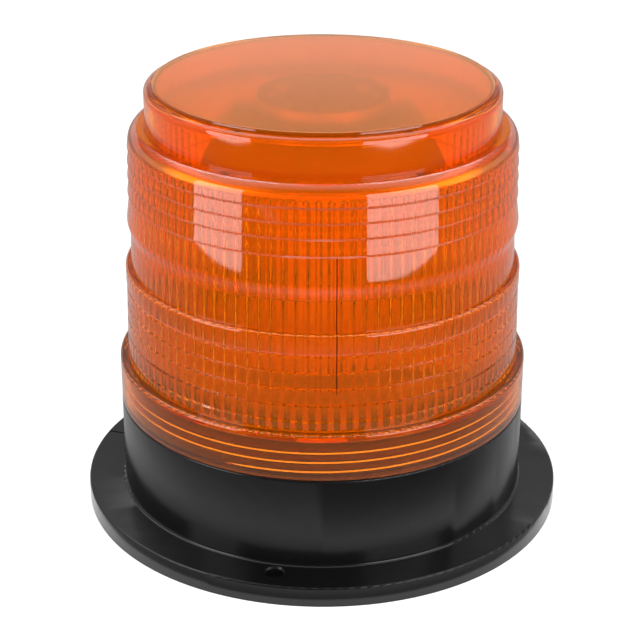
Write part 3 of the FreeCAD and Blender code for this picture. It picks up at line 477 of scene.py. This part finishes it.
# Idler gear and rotor gear: moulded in white acetal, a slightly cloudy plastic that runs dry. The
# idler turns on its axle under a clip, and the rotor gear on the centre post.
def white_acetal():
    finish = Finish("white_acetal")
    cloud = finish.noise(220.0, 3.0)
    return finish.shine({
        "Base Color": finish.blend(cloud, rgb(0.74, 0.73, 0.68), rgb(0.80, 0.79, 0.75)),
        "Roughness": 0.33 + 0.1 * cloud,
        "Subsurface Weight": 0.15,
        "Normal": finish.bump(cloud, 0.00002)})


acetal = white_acetal()
dress("idler_gear", acetal)
dress("rotor_gear", acetal)


# Motor end cap: black glass-filled nylon, moulded with a matt grain. It closes the motor's can and
# carries the two terminals.
def black_nylon():
    finish = Finish("black_nylon")
    grain = finish.noise(1500.0, 3.0)
    return finish.shine({
        "Base Color": finish.blend(grain, grey(0.02), grey(0.04)),
        "Roughness": 0.5 + 0.2 * grain,
        "Normal": finish.bump(grain, 0.00004)})


dress("motor_end_cap", black_nylon())


# Reflector: grey moulding with aluminium vacuum coated on its hollow face only, held on its bracket
# by small screws. The mask finds that face from its paraboloid round the lamp's light centre,
# y = (x * x + z * z) / breadth - focus, with z from the light centre.
light_centre_z = 0.092
paraboloid_breadth = 0.060
paraboloid_focus = 0.015
coat_margin = 0.0009


def coated_reflector():
    finish = Finish("coated_reflector")
    haze = finish.noise(60.0, 2.0)
    across, depth, height = finish.x_y_z(finish.place())
    high = height - light_centre_z
    face = (across * across + high * high) * (1 / paraboloid_breadth) - paraboloid_focus
    coated = 1 - (face - depth).above(coat_margin)
    return finish.shine({
        "Base Color": finish.blend(coated, rgb(0.42, 0.42, 0.43), rgb(0.84, 0.85, 0.86)),
        "Metallic": coated,
        "Roughness": 0.36 - 0.3 * coated + 0.04 * haze,
        "Normal": finish.bump(haze, 0.0001)})


dress("reflector", coated_reflector())


# Heat shield and its pillars: spun and turned aluminium. The shield is a disc with vent holes that
# keeps the lamp's heat off the lens; the two pillars are riveted over on top of it.
def spun_aluminium():
    finish = Finish("spun_aluminium")
    grain = finish.noise(600.0, 3.0)
    return finish.shine({
        "Base Color": finish.blend(grain, rgb(0.68, 0.69, 0.70), rgb(0.76, 0.77, 0.78)),
        "Metallic": 1.0,
        "Roughness": 0.3 + 0.15 * grain,
        "Normal": finish.bump(grain, 0.00002)})


aluminium = spun_aluminium()
dress("heat_shield", aluminium)
dress("shield_posts", aluminium)


# Bulb glass and filament: a clear quartz capsule round a coil of grey tungsten wire. The capsule is
# cemented into the bulb's base, which the sprung clip presses on the holder.
def clear_quartz():
    finish = Finish("clear_quartz")
    haze = finish.noise(300.0, 2.0)
    return finish.shine({
        "Base Color": rgb(0.97, 0.98, 0.98),
        "Roughness": 0.02 + 0.03 * haze,
        "Transmission Weight": 1.0,
        "IOR": 1.46})


def grey_tungsten():
    finish = Finish("grey_tungsten")
    wind = finish.noise(4000.0, 2.0)
    return finish.shine({
        "Base Color": finish.blend(wind, rgb(0.16, 0.16, 0.17), rgb(0.28, 0.28, 0.29)),
        "Metallic": 1.0,
        "Roughness": 0.4 + 0.2 * wind})


dress("bulb_glass", clear_quartz())
dress("bulb_filament", grey_tungsten())


# Leads: stranded copper in coloured plastic jackets. All three start in the terminal block; the
# lamp's goes up the middle of the post to the bulb, the others to the motor's terminals.
def coloured_jacket(name, dark, light):
    finish = Finish(name)
    grain = finish.noise(1600.0, 2.0)
    return finish.shine({
        "Base Color": finish.blend(grain, dark, light),
        "Roughness": 0.4 + 0.15 * grain})


for lead, jacket, dark, light in (
        ("lamp_lead", "red_jacket", rgb(0.35, 0.01, 0.01), rgb(0.45, 0.02, 0.02)),
        ("motor_lead_live", "blue_jacket", rgb(0.02, 0.06, 0.28), rgb(0.03, 0.08, 0.36)),
        ("motor_lead_return", "black_jacket", grey(0.02), grey(0.03))):
    dress(lead, coloured_jacket(jacket, dark, light))


# Lens: one amber polycarbonate moulding. Its outside is turned, with ribs and beads; 102 upright
# pads in two steps stand inside, and a thread in the skirt screws it down on the rubber seal. A lip
# on the skirt's edge covers the seal's rim. Sizes are in millimetres unless they say otherwise.
flute_count = 102
columns_per_flute = 8
inner_columns = flute_count * columns_per_flute
outer_columns = inner_columns // 2

# Outside, from the lip up to the disc.
lip_low_z = 34.95
lip_inner_r = 62.85
lip_draft = 0.05
lip_corner = 0.15
skirt_low_z = 35.9
skirt_edge_r = 61.9
skirt_r = 63.35
skirt_top_z = 49.2
lower_rib_foot_r = 60.8
lower_rib_head_r = 60.4
lower_grooves = (52.5, 57.55, 62.6, 67.65, 72.7)
groove_half = 0.45
groove_depth = 0.35
lower_bead_r = 60.55
lower_bead_low_z = 73.8
lower_bead_top_z = 79.3
band_foot_r = 58.85
band_head_r = 58.55
band_head_z = 89.9
upper_bead_r = 59.6
upper_bead_z = 93.4
upper_grooves = (101.6, 106.7, 111.2, 115.6)
upper_rib_foot_r = 59.05
upper_rib_foot_z = 102.3
upper_rib_head_r = 58.55
crest_over_groove = 0.9
saw_depth = 0.50
shoulder_r = 58.15
shoulder_z = 120.8
ring_foot_z = 122.3
ring_fillet_r = 55.8
ring_r = 53.2
ring_top_z = 134.0
disc_r = 50.7
disc_z = 135.2
disc_flat_r = 48.0

# Inside: the threaded bore, the wall with its pads, the ring's bore and the disc's underside.
skirt_bore_r = 61.25
skirt_roof_z = 46.7
thread_pitch = 3.0
thread_first_z = 37.15
thread_first_deg = 240.0
thread_turns = 2.4
thread_depth = 1.35
thread_end_turn = 0.03
rows_per_pitch = 12
pad_height = 0.5
pad_half_width = 0.87
pad_rise = 0.3
pad_foot_z = 48.2
pad_head_z = 117.9
pad_straight_low_z = 50.0
pad_straight_top_z = 116.2
under_pads_z = 48.0
wall_low_r = 56.6
wall_high_r = 56.0
wall_step_z = 88.3
wall_step_rise = 0.05
wall_top_z = 118.0
ring_bore_r = 50.6
ring_bore_z = 121.2
disc_under_z = 132.6
disc_under_rings_r = (40.0, 24.0, 10.0)

# Where each finish, mark and painted shade of the plastic lies, in metres.
witness_turn = math.radians(273.9)
witness_half_m = 0.00018
witness_low_m = 0.061
witness_high_m = 0.102
# Painted shade: the gaps between the pads, low on the inner wall, are painted nearly black.
painted_gap_shade_start = 0.44
painted_gap_shade_end = 0.93
painted_gap_shade_wall_m = 0.0572
painted_gap_shade_low_m = 0.0484
painted_gap_shade_fade_low_m = 0.0520
painted_gap_shade_fade_high_m = 0.0600
# Below this the skirt's amber has a darker tint, which is painted shade; above the next the disc is
# frosted, and its lighter tint is painted light.
skirt_painted_shade_m = 0.0491
disc_frost_and_painted_light_m = 0.1351


def rounded(corners):
    """Profile through corners (radius, height, rounding). A rounded corner becomes points of the
    parabola that starts and ends the rounding's length from it, with one more point at each end."""
    ends = [corners[0]] + list(corners) + [corners[-1]]
    profile = []
    for before, corner, after in zip(ends, ends[1:], ends[2:]):
        tip = np.array(corner[:2])
        if corner[2] == 0:
            profile.append(tip)
            continue
        back = (np.array(before[:2]) - tip) / math.dist(before[:2], tip) * corner[2]
        ahead = (np.array(after[:2]) - tip) / math.dist(after[:2], tip) * corner[2]
        t = np.linspace(0.0, 1.0, 7)[:, None]
        arc = tip + (1 - t) ** 2 * back + t ** 2 * ahead
        profile += [tip + back * 1.15, *arc, tip + ahead * 1.15]
    return np.array(profile)


def lens_outer_profile():
    """Radius and height of the outside, from the skirt's bottom edge to the disc's flat top. The
    lower ribs are flat bands between grooves, and the upper ones are saw teeth."""
    corners = [(skirt_edge_r, skirt_low_z, 0), (lip_inner_r, skirt_low_z, 0),
               (lip_inner_r + lip_draft, lip_low_z, 0), (skirt_r - lip_corner, lip_low_z, 0),
               (skirt_r, lip_low_z + lip_corner, 0), (skirt_r, skirt_top_z, 1.2),
               (lower_rib_foot_r, skirt_top_z, 0)]
    for height in lower_grooves:
        wall = np.interp(height, (lower_grooves[0], lower_grooves[-1]),
                         (lower_rib_foot_r, lower_rib_head_r))
        corners += [(wall, height - groove_half, 0), (wall - groove_depth, height, 0),
                    (wall, height + groove_half, 0)]
    corners += [(lower_bead_r, lower_bead_low_z, 0), (lower_bead_r, lower_bead_top_z, 1.2),
                (band_foot_r, lower_bead_top_z, 0), (band_head_r, band_head_z, 1.5),
                (upper_bead_r, upper_bead_z, 1.0)]
    for height in upper_grooves:
        crest_z = height + crest_over_groove
        crest = np.interp(crest_z, (upper_rib_foot_z, shoulder_z),
                          (upper_rib_foot_r, upper_rib_head_r))
        corners += [(crest - saw_depth, height, 0), (crest, crest_z, 0)]
    corners += [(shoulder_r, shoulder_z, 2.3), (ring_fillet_r, ring_foot_z, 0.5),
                (ring_r, ring_foot_z, 0), (ring_r, ring_top_z, 1.6), (disc_r, ring_top_z, 0),
                (disc_r, disc_z, 0.5), (disc_flat_r, disc_z, 0)]
    return rounded(corners)


def threaded_bore():
    """Rows that climb with the helix, z = first + pitch * (row's turn + angle wound) + offset, cut
    level at both ends. Twelve rows a pitch follow the ridge: a trapezoid 1.5 mm wide at its root
    and 0.8 mm at its crest. A row ends one pitch above its start, at the next turn's same row."""
    offset = np.array([-1.1, -0.85, -0.75, -0.57, -0.4, -0.25, 0.25, 0.4, 0.57, 0.75, 0.85, 1.1])
    ridge = np.array([0.0, 0.0, 0.0, 0.5, 1.0, 1.0, 1.0, 1.0, 0.5, 0.0, 0.0, 0.0])
    start = round(outer_columns * thread_first_deg / 360.0)
    wound = ((np.arange(outer_columns) - start) % outer_columns) / outer_columns
    turns = np.arange(-2, 5)[:, None, None] + wound
    height = thread_first_z + thread_pitch * turns + offset[:, None]
    whole = np.clip(np.minimum(turns, thread_turns - turns) / thread_end_turn, 0.0, 1.0)
    radius = skirt_bore_r - thread_depth * ridge[:, None] * whole
    height = np.clip(height, skirt_low_z, skirt_roof_z)
    return radius.reshape(-1, outer_columns), height.reshape(-1, outer_columns), start


def lens_inner_rings():
    """Rings of the inside above the threaded bore: the skirt's roof, then pads whose round ends
    follow half circles, then the ring's bore. Each is radius and height per column."""
    column = np.arange(inner_columns) % columns_per_flute
    pad = pad_height * np.array([0.5, 0.95, 0.95, 0.5, 0.05, 0.0, 0.0, 0.05])[column]
    pitch = 2 * math.pi * wall_low_r / flute_count
    across = np.clip(np.abs(column - 1.5) / columns_per_flute * pitch, 0.0, pad_half_width)
    round_end = pad_half_width - np.sqrt(pad_half_width ** 2 - across ** 2)
    level = np.ones(inner_columns)
    rings = [
        (wall_low_r * level, skirt_roof_z * level),
        (wall_low_r * level, under_pads_z * level),
        (wall_low_r * level, pad_foot_z + round_end),
        (wall_low_r - pad, pad_foot_z + pad_rise + round_end),
        (wall_low_r - pad, pad_straight_low_z * level),
        (wall_low_r - pad, wall_step_z * level),
        (wall_high_r - pad, (wall_step_z + wall_step_rise) * level),
        (wall_high_r - pad, pad_straight_top_z * level),
        (wall_high_r - pad, pad_head_z - pad_rise - round_end),
        (wall_high_r * level, pad_head_z - round_end),
        (wall_high_r * level, wall_top_z * level)]
    crown = [(wall_high_r, wall_top_z, 0), (ring_bore_r, ring_bore_z, 0.4),
             (ring_bore_r, disc_under_z, 1.6)]
    crown = rounded(crown + [(radius, disc_under_z, 0) for radius in disc_under_rings_r])
    rings += [(radius * level, height * level) for radius, height in crown[1:]]
    return np.array([ring[0] for ring in rings]), np.array([ring[1] for ring in rings])


def climbing_quads(rows, first, start):
    """Faces of the threaded bore, inward. Over the thread's start, a row meets the one that is a
    pitch up, and the last rows, which have none, end in a point."""
    row = np.arange(rows - 1)[:, None]
    column = (start + np.arange(outer_columns))[None, :]
    here = first + row * outer_columns + column % outer_columns
    after = first + row * outer_columns + (column + 1) % outer_columns
    after[:, -1] += rows_per_pitch * outer_columns
    quads = np.stack([here, here + outer_columns, after + outer_columns, after], axis=-1)
    last = rows - rows_per_pitch - 1
    quads[last:, -1] = quads[last:, -1, :1]
    keep = np.ptp(quads, axis=-1) > 0
    return quads[keep]


def amber_lens():
    """Closed lens: outer rings, the threaded bore's climbing rows and inner rings with twice as
    many columns. Five-sided faces on the skirt's roof join the last two, and each pole is one flat
    face."""
    outer = lens_outer_profile()
    spread = np.ones(outer_columns)
    outside = on_rings(outer[:, :1] * spread, outer[:, 1:] * spread)
    bore_radius, bore_height, start = threaded_bore()
    bore = on_rings(bore_radius, bore_height)
    radius, height = lens_inner_rings()
    inside = on_rings(radius, height)
    points = np.concatenate([outside, bore, inside])
    bore_first = len(outside)
    first = bore_first + len(bore)
    roof = first - outer_columns
    here = np.arange(outer_columns)
    after = (here + 1) % outer_columns
    faces = ring_quads(len(outer), outer_columns, 0, True).tolist()
    faces += np.stack([bore_first + here, bore_first + after, after, here], axis=-1).tolist()
    faces += climbing_quads(len(bore_radius), bore_first, start).tolist()
    faces += np.stack([first + 2 * here, first + 2 * here + 1, first + 2 * after, roof + after,
                       roof + here], axis=-1).tolist()
    faces += ring_quads(len(radius), inner_columns, first, False).tolist()
    faces.append(((len(outer) - 1) * outer_columns + here).tolist())
    faces.append((len(points) - 1 - np.arange(inner_columns)).tolist())
    return new_object("lens_moulding", points.tolist(), faces)


def amber_polycarbonate(name, tint, clear_share, roughness):
    """Amber with a little haze, and a fine witness line of the mould down the front. Low on the
    inner wall the gaps between the pads are painted nearly black, as painted shade that fades
    upward."""
    finish = Finish(name)
    across, depth, height = finish.x_y_z(finish.place())
    off = abs(across * math.sin(witness_turn) - depth * math.cos(witness_turn))
    line = (1 - off.above(witness_half_m)) * (1 - depth.above(0.0))
    line = line * height.between(witness_low_m, witness_high_m)
    # Painted shade between the pads, nearly black low on the inner wall and fading upward.
    flute = depth.turn_from(across) * (flute_count / (2 * math.pi)) + flute_count
    wall = 1 - (across * across + depth * depth).above(painted_gap_shade_wall_m ** 2)
    fade = 1 - finish.rise(height, painted_gap_shade_fade_low_m, painted_gap_shade_fade_high_m)
    painted_gap_shade = flute.fraction().between(painted_gap_shade_start, painted_gap_shade_end) * wall * fade * height.above(painted_gap_shade_low_m)
    haze = finish.noise(120.0, 3.0)
    grain = finish.noise(2500.0, 2.0)
    lined = finish.blend(line, tint, rgb(0.25, 0.03, 0.001))
    return finish.shine({
        "Base Color": finish.blend(painted_gap_shade, lined, rgb(0.02, 0.004, 0.0005)),
        "Roughness": roughness + 0.02 * haze,
        "Normal": finish.bump(grain, 0.00003, roughness),
        "Transmission Weight": clear_share,
        "IOR": 1.58})


lens = amber_lens()
# Copies of the one amber: the skirt's darker tint is painted shade, and the frosted disc's lighter
# tint is painted light.
for name, tint, clear_share, roughness in (
        ("amber_polycarbonate", rgb(0.98, 0.235, 0.003), 0.90, 0.03),
        ("amber_skirt_painted_shade", rgb(0.80, 0.19, 0.003), 0.96, 0.03),
        ("amber_frosted_painted_light", rgb(0.98, 0.38, 0.015), 0.80, 0.11)):
    lens.data.materials.append(amber_polycarbonate(name, tint, clear_share, roughness))
middle = np.array([face.center[2] for face in lens.data.polygons])
on_skirt = middle < skirt_painted_shade_m
on_disc = middle > disc_frost_and_painted_light_m
lens.data.polygons.foreach_set("material_index", on_skirt + 2 * on_disc)
lens.modifiers.new("rounded_shading", "NODES").node_group = rounded_shading
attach(lens, "lens")
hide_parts("lens")
